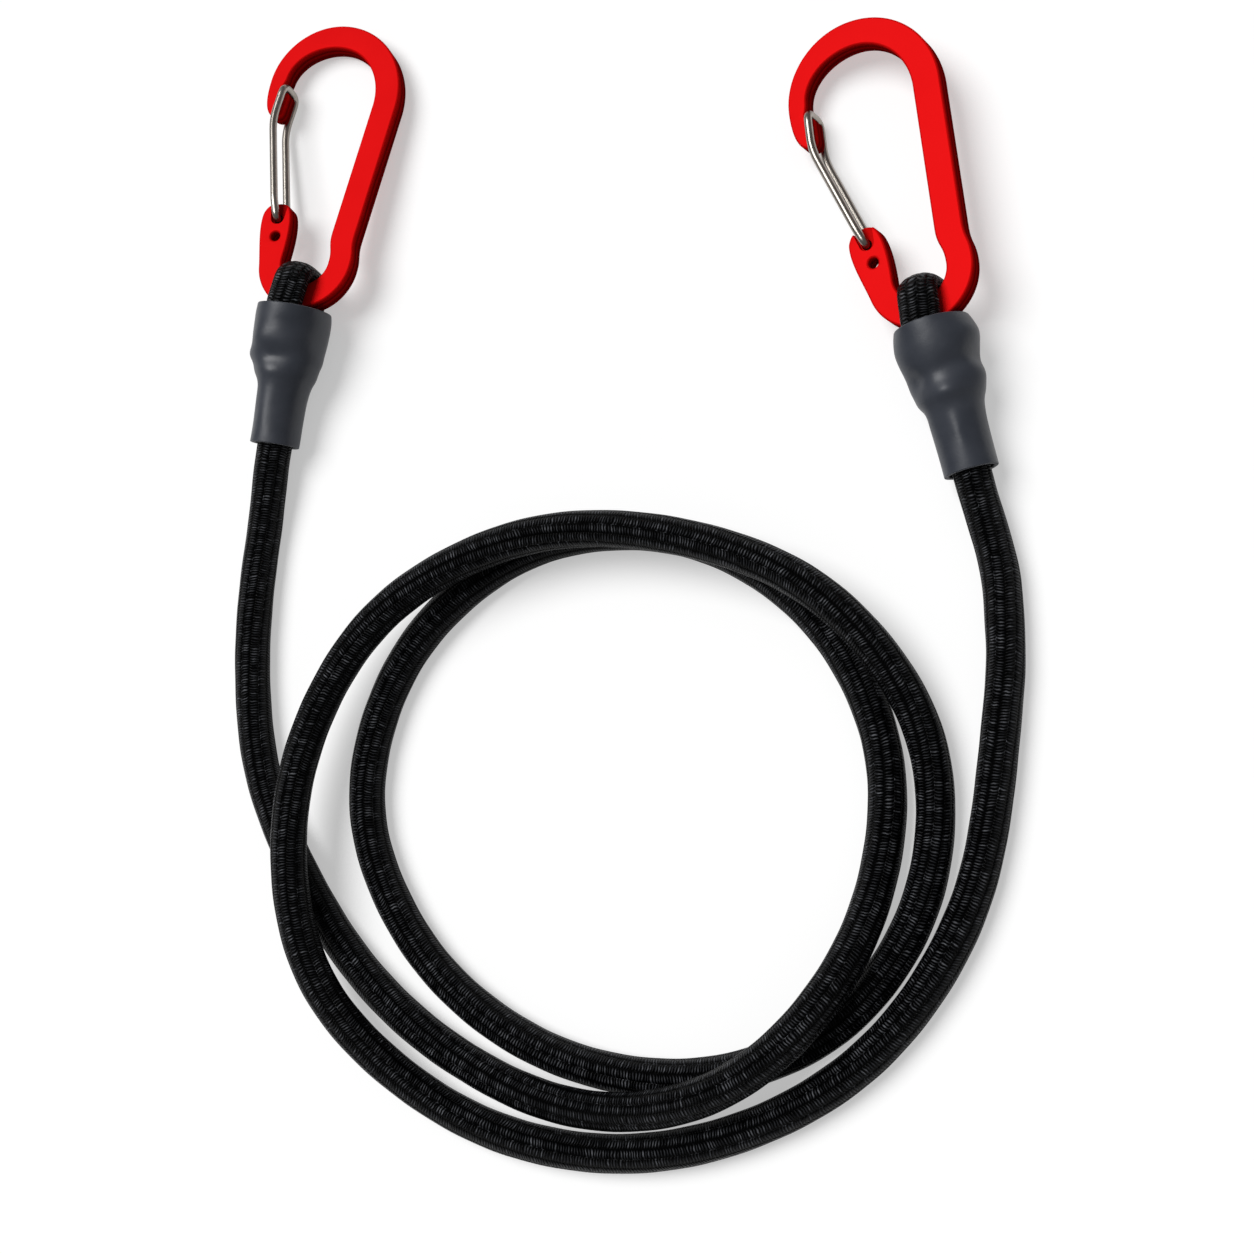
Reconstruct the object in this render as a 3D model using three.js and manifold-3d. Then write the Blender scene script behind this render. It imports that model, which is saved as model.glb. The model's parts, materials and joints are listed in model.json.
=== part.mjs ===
// A bungee cord: one length of braided elastic cord, lying in loose loops, with a flat wire-gate carabiner
// held in a crimped and sleeved loop at each end. Millimetres, +Z up. The cord lies on the floor, Z = 0, and
// the origin is on the floor below the middle of the two ends.
import * as THREE from "three";
import { mergeVertices } from "three/addons/utils/BufferGeometryUtils.js";
import Module from "manifold-3d";

const wasm = await Module();
wasm.setup();

// Running clearance between pieces that touch on the real thing
const FIT = 0.3;

// Elastic cord: a braided jacket over a rubber core. One that lies on the floor is pressed flat by a share of
// its diameter.
const CORD_DIAMETER = 9;
const JACKET_WALL = 1;
const PRESSED_SHARE = 0.1;
const CORD_SIDES = 10;
const RING_SPACING = 13;

// The same cord where it wraps the bar of a carabiner, held off the floor by the sleeve's mouth, and where the
// crimp squeezes it
const WRAP_HALF_WIDTH = 5;
const WRAP_HALF_THICKNESS = 2.8;
const CRIMPED_HALF_WIDTH = 3.2;
const CRIMPED_HALF_THICKNESS = 3.9;
const LOOP_LIFT = 2.2;
const WRAP_STEPS = 3;
const LEG_STEPS = 5;

// Carabiner body, a flat plate. Seen in its own plane the eye's centre is the origin, +X is the spine's side
// and +Y is towards the crown.
const PLATE_THICKNESS = 5;
const EDGE_CHAMFER = 0.5;
const EYE_RADIUS = 6.8;
const BAR_WIDTH = 6.6;
const SPINE_INSET = 1.6;
const SPINE_WIDTH = 7;
const SPINE_START = 9;
const CROWN_HEIGHT = 68.6;
const CROWN_RISE = 22.6;
const CROWN_MIDDLE = -9.4;
const CROWN_WIDTH = 6.7;
const NOSE_SIDE_RADIUS = 18;
const NOSE_NECK_WIDTH = 4.9;
const NOSE_HEAD_WIDTH = 6.6;
const NOSE_DROP = 28.8;
const CATCH_LEAN = 35;
const EAR_RADIUS = 4.4;
const EAR_HOLE_RADIUS = 1.6;
const EAR_HOLE_DROP = 5.3;
const EAR_HOLE_INSET = 1.3;
const EAR_TOP_ANGLE = 60;
const EAR_FOOT_ANGLE = 195;
const EAR_RISE_SHARE = 0.75;
const EAR_FLARE_SHARE = 0.6;
const NOSE_SLOPE_SHARE = 0.2;
const NOSE_FLAT_SHARE = 0.7;
const ARC_STEPS = 8;

// Wire gate: one stainless wire, a hairpin that straddles the nose, its two ends turned into the ear
const WIRE_DIAMETER = 2;
const WIRE_SIDES = 8;
const CORNER_STEPS = 3;
const GATE_PIVOT_X = -12.2;
const GATE_PIVOT_Y = 10.9;
const GATE_KINK_INSET = 5.4;
const GATE_KINK_DROP = 30.2;
const GATE_TIP_INSET = 5.5;
const GATE_TIP_DROP = 20;
const GATE_CORNER = 1.9;
const PIN_CORNER = 1.2;
const KINK_CORNER = 3.5;
const RISE_LENGTH = 4.6;
const POCKET_DEPTH = 1.15;
const POCKET_RADIUS = 1.95;
const POCKET_PLAY = 0.6;

// Sleeve over the crimp, from its mouth at the carabiner to its lower end
const SLEEVE_WALL = 1.1;
const SLEEVE_LENGTH = 36;
const SLEEVE_SLACK = 0.8;
const SLEEVE_LIFT = 0.1;
const MOUTH_HALF_HEIGHT = 10.5;
const SLEEVE_SIDES = 16;
const MOUTH_TO_EYE = 13;
const CORD_INSERT = 3.3;

// Crimp: a flat steel strip bent round both legs of the loop, its ends nearly meeting below
const CRIMP_START = 12.5;
const CRIMP_LENGTH = 5;
const CRIMP_WALL = 0.8;
const CRIMP_SEAM = 1.4;
const TAIL_LENGTH = 2.2;

// Places of the lower ends of the sleeves. Then for each end the ways that sleeve and carabiner point, their roll,
// the steepest pitch that is tried for the carabiner, and the side on which the leg that carries on as the free
// cord enters the sleeve.
const LEFT_X = -95;
const LEFT_Y = 52;
const RIGHT_X = 85.5;
const RIGHT_Y = 30.6;
const STEEPEST_PITCH = 90;
const ENDS = [
  { side: "left", x: LEFT_X, y: LEFT_Y, sleeveYaw: -11, plateYaw: -13.9, roll: 0, legSide: 1 },
  { side: "right", x: RIGHT_X, y: RIGHT_Y, sleeveYaw: 12.5, plateYaw: 6.4, roll: 14, legSide: -1 },
];

// Sizes that follow
const CORD_RADIUS = CORD_DIAMETER / 2;
const LYING = CORD_RADIUS - CORD_DIAMETER * PRESSED_SHARE;
const WIRE_RADIUS = WIRE_DIAMETER / 2;
const SPINE_END = CROWN_HEIGHT - CROWN_RISE;
const NOSE_X = CROWN_MIDDLE - NOSE_SIDE_RADIUS;
const NOSE_BOTTOM = CROWN_HEIGHT - NOSE_DROP;
const GATE_KINK_X = NOSE_X + GATE_KINK_INSET;
const GATE_KINK_Y = CROWN_HEIGHT - GATE_KINK_DROP;
const GATE_TIP_X = NOSE_X + GATE_TIP_INSET;
const GATE_TIP_Y = CROWN_HEIGHT - GATE_TIP_DROP;
const BAR_RADIUS = EYE_RADIUS + BAR_WIDTH / 2;
const WRAP_REACH = PLATE_THICKNESS / 2 + FIT + WRAP_HALF_THICKNESS;
const BAR_HEIGHT = LOOP_LIFT + WRAP_HALF_THICKNESS + WRAP_REACH;
const LEG_SPREAD = CRIMPED_HALF_WIDTH + FIT;
const CRIMP_HALF_WIDTH = LEG_SPREAD + CRIMPED_HALF_WIDTH + FIT;
const CRIMP_HALF_HEIGHT = CRIMPED_HALF_THICKNESS + FIT;
const CRIMP_END = CRIMP_START + CRIMP_LENGTH;
const TAIL_END = CRIMP_END + TAIL_LENGTH;
const SLEEVE_END_HALF = CORD_RADIUS + SLEEVE_SLACK + SLEEVE_WALL;

// The carrying leg from the tail's end to the sleeve's lower end: shares of that way, of the spread, and squeeze
const LEAD_SHARES = [
  [0, 0.96, 0.9],
  [0.22, 0.5, 0.35],
  [0.42, 0.1, 0.05],
  [0.62, 0, 0],
];
// Sections of the sleeve: shares of the way from its mouth to the tail's end, or of the way on to its lower end,
// and of what it is wider at the crimp and higher at the mouth than at its lower end
const MOUTH_SHARES = [
  [0, 1.17, 1],
  [0.2, 1.21, 0.93],
  [0.325, 1.18, 0.86],
  [0.49, 1.1, 0.7],
  [0.645, 1.04, 0.48],
  [0.89, 1.01, 0.32],
  [0.99, 0.76, 0.22],
];
const TAPER_SHARES = [
  [0.19, 0.35, 0.12],
  [0.46, 0.1, 0.05],
  [0.69, 0.03, 0.02],
  [1, 0, 0],
];

// The free cord's route, from the right sleeve to the left one: points of the right lead, then two and a half
// loops as radius and height at steps of an angle about their middle, then points of the left lead
const LOOPS_X = 4.5;
const LOOPS_Y = -55;
const LOOPS_START = 20;
const LOOPS_STEP = -30;
const RIGHT_LEAD = [
  [88, 20, 4.8],
  [89.8, 12.5, 3.8],
  [91.1, 5, LYING],
  [91.5, -5, LYING],
  [91.5, -15, LYING],
];
const LOOPS = [
  [91.5, LYING], [78.5, LYING], [72, LYING], [69, LYING], [71.5, LYING], [78.5, 4.2],
  [86.5, 12.2], [89, 13.5], [88.5, 12.4], [81, 13.2], [74.5, 13.3], [74, 12.8],
  [73, 5.6], [68, LYING], [62, LYING], [55.5, LYING], [52.5, LYING], [54.5, LYING],
  [62, LYING], [73.5, LYING], [79.5, LYING], [80.5, LYING], [76, LYING], [69, LYING],
  [62.5, LYING], [57, 5], [57, 13.4], [59, 13.4], [61.5, 8], [66.5, LYING],
  [78.5, LYING], [102, LYING],
];
const LEFT_LEAD = [
  [-101, -6, LYING],
  [-101, 3, LYING],
  [-100.6, 12, LYING],
  [-99.8, 21, LYING],
  [-98.6, 30, 3.8],
  [-97.3, 38.5, 4.8],
];

// Vertices this near are one; the halvings in which a resting pitch is found; and how many diameters along the
// cord lie between two stretches whose gap counts, and how many points each diameter has
const WELD = 0.0005;
const HALVINGS = 40;
const GAP_APART = 3;
const GAP_POINTS = 4;

const material = {
  braid: new THREE.MeshStandardMaterial({ color: "#17181a", roughness: 0.8 }),
  rubber: new THREE.MeshStandardMaterial({ color: "#c9b48c", roughness: 0.9 }),
  sleeve: new THREE.MeshStandardMaterial({ color: "#42454e", roughness: 0.55 }),
  red: new THREE.MeshStandardMaterial({ color: "#e01416", roughness: 0.35, metalness: 0.4 }),
  wire: new THREE.MeshStandardMaterial({ color: "#b9b5ab", roughness: 0.25, metalness: 1 }),
  steel: new THREE.MeshStandardMaterial({ color: "#9c9ea0", roughness: 0.4, metalness: 1 }),
};

const point = (x, y, z) => new THREE.Vector3(x, y, z);
const radians = THREE.MathUtils.degToRad;
const mix = THREE.MathUtils.lerp;

function named(name, geometry, look) {
  geometry.computeVertexNormals();
  const mesh = new THREE.Mesh(geometry, look);
  mesh.name = name;
  return mesh;
}

// Rings of an elliptical section along a list of stations. A station has its centre, its two half axes and, where
// they are fixed, the direction of its wide axis, its tangent and the floor that nothing of it lies below.
function ringsAlong(stations, sides, inset) {
  let wide = point(1, 0, 0);
  return stations.map((station, i) => {
    const before = stations[Math.max(i - 1, 0)].centre;
    const after = stations[Math.min(i + 1, stations.length - 1)].centre;
    const tangent = (station.tangent ?? after.clone().sub(before)).clone().normalize();
    wide = (station.wide ?? wide).clone();
    wide.addScaledVector(tangent, -wide.dot(tangent)).normalize();
    const thick = tangent.clone().cross(wide);
    return Array.from({ length: sides }, (_, k) => {
      const angle = ((k + 1 / 2) / sides) * 2 * Math.PI;
      const p = station.centre.clone();
      p.addScaledVector(wide, Math.cos(angle) * (station.halfWidth - inset));
      p.addScaledVector(thick, Math.sin(angle) * (station.halfThickness - inset));
      p.z = Math.max(p.z, (station.floor ?? -Infinity) + inset);
      return p;
    });
  });
}

// Two triangles a, b, c and a, c, d
function addQuad(indices, a, b, c, d, turned) {
  if (turned) indices.push(a, c, b, a, d, c);
  else indices.push(a, b, c, a, c, d);
}

// Faces along the rings from number `first` on, facing out or, turned, in
function addSkin(indices, first, count, sides, turned) {
  for (let i = 0; i < count - 1; i++) {
    for (let k = 0; k < sides; k++) {
      const a = first + i * sides + k;
      const b = first + i * sides + ((k + 1) % sides);
      addQuad(indices, a, b, b + sides, a + sides, turned);
    }
  }
}

// A solid rod through rings
function rod(rings) {
  const sides = rings[0].length;
  const last = (rings.length - 1) * sides;
  const indices = [];
  addSkin(indices, 0, rings.length, sides, false);
  for (let k = 1; k < sides - 1; k++) {
    indices.push(0, k + 1, k);
    indices.push(last, last + k, last + k + 1);
  }
  return new THREE.BufferGeometry().setFromPoints(rings.flat()).setIndex(indices);
}

// A pipe between outer and inner rings, open at both ends
function pipe(outer, inner) {
  const sides = outer[0].length;
  const count = outer.length;
  const hollow = count * sides;
  const last = (count - 1) * sides;
  const indices = [];
  addSkin(indices, 0, count, sides, false);
  addSkin(indices, hollow, count, sides, true);
  for (let k = 0; k < sides; k++) {
    const next = (k + 1) % sides;
    addQuad(indices, k, next, next + hollow, k + hollow, true);
    addQuad(indices, last + k, last + next, last + next + hollow, last + k + hollow, false);
  }
  return new THREE.BufferGeometry().setFromPoints([...outer.flat(), ...inner.flat()]).setIndex(indices);
}

// Jacket and core of a stretch of cord
function cordPieces(name, stations) {
  const outer = ringsAlong(stations, CORD_SIDES, 0);
  const bore = ringsAlong(stations, CORD_SIDES, JACKET_WALL);
  const core = ringsAlong(stations, CORD_SIDES, JACKET_WALL + FIT);
  return [
    named(`${name}_jacket`, pipe(outer, bore), material.braid),
    named(`${name}_core`, rod(core), material.rubber),
  ];
}

// The carabiner's outline: bar of the eye, spine, crown, nose with its catch, eye and ear
function plateShape() {
  const outerRadius = EYE_RADIUS + BAR_WIDTH;
  const innerX = EYE_RADIUS - SPINE_INSET;
  const outerX = innerX + SPINE_WIDTH;
  const shoulder = SPINE_START / 2;
  const innerTop = CROWN_HEIGHT - CROWN_WIDTH;
  const noseY = CROWN_HEIGHT - NOSE_SIDE_RADIUS;
  const headX = NOSE_X + NOSE_HEAD_WIDTH;
  const flatX = NOSE_X + NOSE_HEAD_WIDTH * NOSE_FLAT_SHARE;
  const catchRadius = WIRE_RADIUS + FIT;
  const catchY = GATE_TIP_Y - catchRadius;
  const catchEnd = Math.PI + radians(CATCH_LEAN);
  const neckY = GATE_TIP_Y + 2 * catchRadius;
  const neckRadius = NOSE_SIDE_RADIUS - NOSE_NECK_WIDTH;
  const pivot = new THREE.Vector2(GATE_PIVOT_X, GATE_PIVOT_Y);
  const foot = polar(outerRadius, radians(EAR_FOOT_ANGLE));
  const flare = polar(BAR_WIDTH * EAR_FLARE_SHARE, radians(EAR_FOOT_ANGLE) - Math.PI / 2).add(foot);
  const earTop = polar(EAR_RADIUS, radians(EAR_TOP_ANGLE)).add(pivot);
  const earBend = polar(EAR_RADIUS / 2, radians(EAR_TOP_ANGLE) - Math.PI / 2).add(earTop);
  const shape = new THREE.Shape();
  shape.absarc(0, 0, outerRadius, radians(EAR_FOOT_ANGLE), 2 * Math.PI, false);
  shape.bezierCurveTo(outerRadius, shoulder, outerX, shoulder, outerX, SPINE_START);
  shape.lineTo(outerX, SPINE_END);
  shape.absellipse(
    CROWN_MIDDLE, SPINE_END, outerX - CROWN_MIDDLE, CROWN_HEIGHT - SPINE_END, 0, Math.PI / 2, false, 0,
  );
  shape.absarc(CROWN_MIDDLE, noseY, NOSE_SIDE_RADIUS, Math.PI / 2, Math.PI, false);
  shape.bezierCurveTo(
    NOSE_X, NOSE_BOTTOM + NOSE_NECK_WIDTH,
    NOSE_X + NOSE_HEAD_WIDTH * NOSE_SLOPE_SHARE, NOSE_BOTTOM,
    flatX, NOSE_BOTTOM,
  );
  shape.quadraticCurveTo(headX, NOSE_BOTTOM, headX, NOSE_BOTTOM + headX - flatX);
  shape.lineTo(headX, catchY - (headX - GATE_TIP_X));
  shape.quadraticCurveTo(headX, catchY, GATE_TIP_X, catchY);
  shape.absarc(GATE_TIP_X, GATE_TIP_Y, catchRadius, -Math.PI / 2, -catchEnd, true);
  shape.absellipse(CROWN_MIDDLE, neckY, neckRadius, innerTop - neckY, Math.PI, Math.PI / 2, true, 0);
  shape.absellipse(
    CROWN_MIDDLE, SPINE_END, innerX - CROWN_MIDDLE, innerTop - SPINE_END, Math.PI / 2, 0, true, 0,
  );
  shape.lineTo(innerX, SPINE_START);
  shape.bezierCurveTo(innerX, shoulder, EYE_RADIUS, shoulder, EYE_RADIUS, 0);
  shape.absarc(0, 0, EYE_RADIUS, 0, Math.PI, true);
  shape.bezierCurveTo(-EYE_RADIUS, GATE_PIVOT_Y * EAR_RISE_SHARE, earBend.x, earBend.y, earTop.x, earTop.y);
  shape.absarc(GATE_PIVOT_X, GATE_PIVOT_Y, EAR_RADIUS, radians(EAR_TOP_ANGLE), Math.PI, false);
  shape.bezierCurveTo(
    GATE_PIVOT_X - EAR_RADIUS, GATE_PIVOT_Y * EAR_FLARE_SHARE,
    flare.x, flare.y,
    foot.x, foot.y,
  );
  return shape;
}

function polar(radius, angle) {
  return new THREE.Vector2(radius * Math.cos(angle), radius * Math.sin(angle));
}

function circle(x, y, radius) {
  return new THREE.Path().absarc(x, y, radius, 0, 2 * Math.PI, true);
}

// A solid from a closed geometry, and back
function solidOf(geometry) {
  const bare = geometry.clone();
  bare.deleteAttribute("normal");
  bare.deleteAttribute("uv");
  const merged = mergeVertices(bare, WELD);
  return new wasm.Manifold(
    new wasm.Mesh({
      numProp: 3,
      vertProperties: merged.attributes.position.array,
      triVerts: new Uint32Array(merged.index.array),
    }),
  );
}

function geometryOf(solid) {
  const { vertProperties, triVerts } = solid.getMesh();
  return new THREE.BufferGeometry()
    .setAttribute("position", new THREE.BufferAttribute(vertProperties, 3))
    .setIndex(new THREE.BufferAttribute(triVerts, 1))
    .toNonIndexed();
}

// The pocket in one face of the ear, where a leg of the gate lies and swings. It has a round bottom and opens
// upwards, from the leg's closed place on the left to its open place on the right.
function pocket(face) {
  const reach = EAR_RADIUS * 2;
  const lean = Math.atan2(GATE_PIVOT_X - GATE_KINK_X, GATE_KINK_Y - GATE_PIVOT_Y);
  const x = GATE_PIVOT_X + POCKET_RADIUS - WIRE_RADIUS - POCKET_PLAY;
  const shape = new THREE.Shape();
  shape.absarc(x, GATE_PIVOT_Y, POCKET_RADIUS, Math.PI + lean, 2 * Math.PI, false);
  shape.lineTo(x + POCKET_RADIUS, GATE_PIVOT_Y + reach);
  shape.lineTo(
    x - Math.cos(lean) * POCKET_RADIUS - Math.sin(lean) * reach,
    GATE_PIVOT_Y - Math.sin(lean) * POCKET_RADIUS + Math.cos(lean) * reach,
  );
  const depth = 2 * POCKET_DEPTH;
  const geometry = new THREE.ExtrudeGeometry(shape, { depth, bevelEnabled: false, curveSegments: ARC_STEPS });
  geometry.translate(0, 0, (face * PLATE_THICKNESS) / 2 - POCKET_DEPTH);
  return geometry;
}

function carabinerBody(shape) {
  shape.holes.push(
    circle(GATE_PIVOT_X + EAR_HOLE_INSET, GATE_PIVOT_Y - EAR_HOLE_DROP, EAR_HOLE_RADIUS),
    circle(GATE_PIVOT_X, GATE_PIVOT_Y, WIRE_RADIUS + FIT),
  );
  const plate = new THREE.ExtrudeGeometry(shape, {
    depth: PLATE_THICKNESS - 2 * EDGE_CHAMFER,
    bevelThickness: EDGE_CHAMFER,
    bevelSize: EDGE_CHAMFER,
    bevelOffset: -EDGE_CHAMFER,
    bevelSegments: 1,
    curveSegments: ARC_STEPS,
  });
  plate.translate(0, 0, EDGE_CHAMFER - PLATE_THICKNESS / 2);
  return geometryOf(solidOf(plate).subtract(solidOf(pocket(1))).subtract(solidOf(pocket(-1))));
}

// A path through corners, each rounded over its reach, as the points where a wire needs a ring
function roundedPath(corners, steps) {
  const path = [corners[0].at];
  corners.slice(1, -1).forEach(({ at, reach }, i) => {
    const back = corners[i].at.clone().sub(at).setLength(reach).add(at);
    const on = corners[i + 2].at.clone().sub(at).setLength(reach).add(at);
    path.push(...new THREE.QuadraticBezierCurve3(back, at, on).getPoints(steps));
  });
  path.push(corners.at(-1).at);
  return path;
}

// The gate's wire, from the pin in the upper face of the ear, round the nose, to the pin in the lower face
function wireGate() {
  const noseZ = PLATE_THICKNESS / 2 + FIT + WIRE_RADIUS;
  const earZ = PLATE_THICKNESS / 2 - POCKET_DEPTH + FIT + WIRE_RADIUS;
  const rise = point(GATE_KINK_X - GATE_PIVOT_X, GATE_KINK_Y - GATE_PIVOT_Y, 0).setLength(RISE_LENGTH);
  const half = (face) => [
    { at: point(GATE_PIVOT_X, GATE_PIVOT_Y, face * FIT) },
    { at: point(GATE_PIVOT_X, GATE_PIVOT_Y, face * earZ), reach: PIN_CORNER },
    { at: point(GATE_PIVOT_X + rise.x, GATE_PIVOT_Y + rise.y, face * noseZ), reach: PIN_CORNER },
    { at: point(GATE_KINK_X, GATE_KINK_Y, face * noseZ), reach: KINK_CORNER },
    { at: point(GATE_TIP_X, GATE_TIP_Y, face * noseZ), reach: GATE_CORNER },
  ];
  const path = roundedPath([...half(1), ...half(-1).reverse()], CORNER_STEPS);
  const stations = path.map((centre) => ({ centre, halfWidth: WIRE_RADIUS, halfThickness: WIRE_RADIUS }));
  return rod(ringsAlong(stations, WIRE_SIDES, 0));
}

function sleeve() {
  const crimpHalf = CRIMP_HALF_WIDTH + CRIMP_WALL + FIT + SLEEVE_WALL;
  const section = (along, wide, high) => ({
    centre: point(0, -along, 0),
    halfWidth: mix(SLEEVE_END_HALF, crimpHalf, wide),
    halfThickness: mix(SLEEVE_END_HALF, MOUTH_HALF_HEIGHT, high),
    tangent: point(0, -1, 0),
  });
  const stations = [
    ...MOUTH_SHARES.map(([along, ...shares]) => section(TAIL_END * along, ...shares)),
    ...TAPER_SHARES.map(([along, ...shares]) => section(mix(TAIL_END, SLEEVE_LENGTH, along), ...shares)),
  ];
  const inner = ringsAlong(stations, SLEEVE_SIDES, SLEEVE_WALL);
  return pipe(ringsAlong(stations, SLEEVE_SIDES, 0), inner);
}

function crimp() {
  const innerRadius = CRIMP_HALF_HEIGHT;
  const outerRadius = innerRadius + CRIMP_WALL;
  const flat = CRIMP_HALF_WIDTH - innerRadius;
  const seam = CRIMP_SEAM / 2;
  const quarter = Math.PI / 2;
  const shape = new THREE.Shape();
  shape.moveTo(seam, -outerRadius);
  shape.absarc(flat, 0, outerRadius, -quarter, quarter, false);
  shape.absarc(-flat, 0, outerRadius, quarter, 3 * quarter, false);
  shape.lineTo(-seam, -outerRadius);
  shape.lineTo(-seam, -innerRadius);
  shape.absarc(-flat, 0, innerRadius, -quarter, -3 * quarter, true);
  shape.absarc(flat, 0, innerRadius, quarter, -quarter, true);
  shape.lineTo(seam, -innerRadius);
  const strip = new THREE.ExtrudeGeometry(shape, {
    depth: CRIMP_LENGTH,
    bevelEnabled: false,
    curveSegments: ARC_STEPS,
  });
  strip.rotateX(quarter);
  strip.translate(0, -CRIMP_START, 0);
  return strip;
}

// The pitch at which a carabiner with its bar at its height touches the floor with its crown, nose or gate
function restingPitch(roll, outline) {
  const wireZ = PLATE_THICKNESS / 2 + FIT + WIRE_DIAMETER;
  const touching = [
    ...outline.map(({ x, y }) => point(x, y, -PLATE_THICKNESS / 2)),
    point(GATE_KINK_X, GATE_KINK_Y, -wireZ),
    point(GATE_TIP_X, GATE_TIP_Y, -wireZ),
  ];
  const lowest = (pitch) => {
    const heights = touching.map(
      ({ x, y, z }) =>
        BAR_HEIGHT -
        (BAR_RADIUS + y) * Math.sin(pitch) +
        (x * Math.sin(roll) + z * Math.cos(roll)) * Math.cos(pitch),
    );
    return Math.min(...heights);
  };
  let pitch = 0;
  for (let step = radians(STEEPEST_PITCH) / 2, i = 0; i < HALVINGS; step /= 2, i++) {
    if (lowest(pitch + step) > 0) pitch += step;
  }
  return pitch;
}

// The frames of one end: the sleeve's has its origin in the mouth, the plate's in the eye, both with +Y to the
// crown and +Z up. The bar of the eye is on the sleeve's line.
function endFrames({ x, y, sleeveYaw, plateYaw, roll }, outline) {
  const tilt = Math.asin((MOUTH_HALF_HEIGHT - SLEEVE_END_HALF) / SLEEVE_LENGTH);
  const pitch = restingPitch(radians(roll), outline);
  const turned = (distance, height, tip, yaw) => {
    const frame = new THREE.Group();
    const angle = radians(sleeveYaw);
    frame.position.set(x - Math.sin(angle) * distance, y + Math.cos(angle) * distance, height);
    frame.rotation.set(tip, -radians(roll), radians(yaw), "ZXY");
    return frame;
  };
  const mouth = SLEEVE_LENGTH * Math.cos(tilt);
  const sleeveFrame = turned(mouth, MOUTH_HALF_HEIGHT + SLEEVE_LIFT, tilt, sleeveYaw);
  const plateFrame = turned(mouth + MOUTH_TO_EYE - BAR_RADIUS, BAR_HEIGHT, -pitch, plateYaw);
  plateFrame.translateY(BAR_RADIUS);
  sleeveFrame.updateMatrixWorld();
  plateFrame.updateMatrixWorld();
  return { sleeveFrame, plateFrame };
}

// A station of the cord given in a frame
function stationIn(frame, x, y, z, squeeze, base) {
  return {
    centre: point(x, y, z).applyMatrix4(frame.matrixWorld),
    wide: point(1, 0, 0).transformDirection(frame.matrixWorld),
    halfWidth: mix(base.halfWidth, CRIMPED_HALF_WIDTH, squeeze),
    halfThickness: mix(base.halfThickness, CRIMPED_HALF_THICKNESS, squeeze),
    floor: 0,
  };
}

// The cord through one end: up the sleeve as the lower leg, round the bar, and back as the tail. Between bar and
// crimp the legs turn from one above the other to side by side.
function loopStations({ sleeveFrame, plateFrame }, legSide) {
  const round = { halfWidth: CORD_RADIUS, halfThickness: CORD_RADIUS };
  const wrapped = { halfWidth: WRAP_HALF_WIDTH, halfThickness: WRAP_HALF_THICKNESS };
  const straight = SLEEVE_LENGTH - CORD_INSERT - FIT;
  const reach = FIT + WRAP_HALF_THICKNESS;
  const toCrown = (frame) => point(0, 1, 0).transformDirection(frame.matrixWorld);
  const inSleeve = (side, along, squeeze, base) =>
    stationIn(sleeveFrame, side * LEG_SPREAD, -along, 0, squeeze, base);
  const inEye = (y, z) => stationIn(plateFrame, 0, y, z, 0, wrapped);
  const held = (side, along, way) => ({
    ...inSleeve(side, along, 1, wrapped),
    tangent: toCrown(sleeveFrame).multiplyScalar(way),
  });
  const lead = LEAD_SHARES.map(([along, side, squeeze]) =>
    inSleeve(side * legSide, mix(TAIL_END, straight, along), squeeze, round),
  );
  const leg = (side) => {
    const bar = inEye(-EYE_RADIUS - BAR_WIDTH, side * WRAP_REACH);
    const from = bar.centre.clone().applyMatrix4(sleeveFrame.matrixWorld.clone().invert());
    return Array.from({ length: LEG_STEPS }, (_, i) => {
      const share = (i + 1) / (LEG_STEPS + 1);
      const turn = (Math.PI / 2) * THREE.MathUtils.smoothstep(share, 0, 1);
      const x = mix(from.x, 0, share) - side * legSide * LEG_SPREAD * Math.sin(turn);
      const y = mix(from.y, -CRIMP_START, share);
      const station = stationIn(sleeveFrame, x, y, from.z * Math.cos(turn), share, wrapped);
      return {
        ...station,
        wide: bar.wide.clone().lerp(station.wide, share),
        tangent: toCrown(plateFrame).lerp(toCrown(sleeveFrame), share).multiplyScalar(-side),
      };
    });
  };
  const bend = (side) =>
    Array.from({ length: WRAP_STEPS + 1 }, (_, i) => {
      const angle = (Math.PI / 2) * (i / WRAP_STEPS);
      const z = side * (PLATE_THICKNESS / 2 + reach * Math.sin(angle));
      return inEye(-EYE_RADIUS + reach * Math.cos(angle), z);
    });
  const alongBar = (side) =>
    [BAR_WIDTH / 2, BAR_WIDTH].map((width) => inEye(-EYE_RADIUS - width, side * WRAP_REACH));
  return [
    { ...inSleeve(0, straight, 0, round), tangent: toCrown(sleeveFrame) },
    ...lead.reverse(),
    held(legSide, CRIMP_END, 1),
    held(legSide, CRIMP_START, 1),
    ...leg(-1).reverse(),
    ...alongBar(-1).reverse(),
    ...bend(-1).reverse(),
    ...bend(1),
    ...alongBar(1),
    ...leg(1),
    held(-legSide, CRIMP_START, -1),
    held(-legSide, CRIMP_END, -1),
    held(-legSide, TAIL_END, -1),
  ];
}

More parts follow.
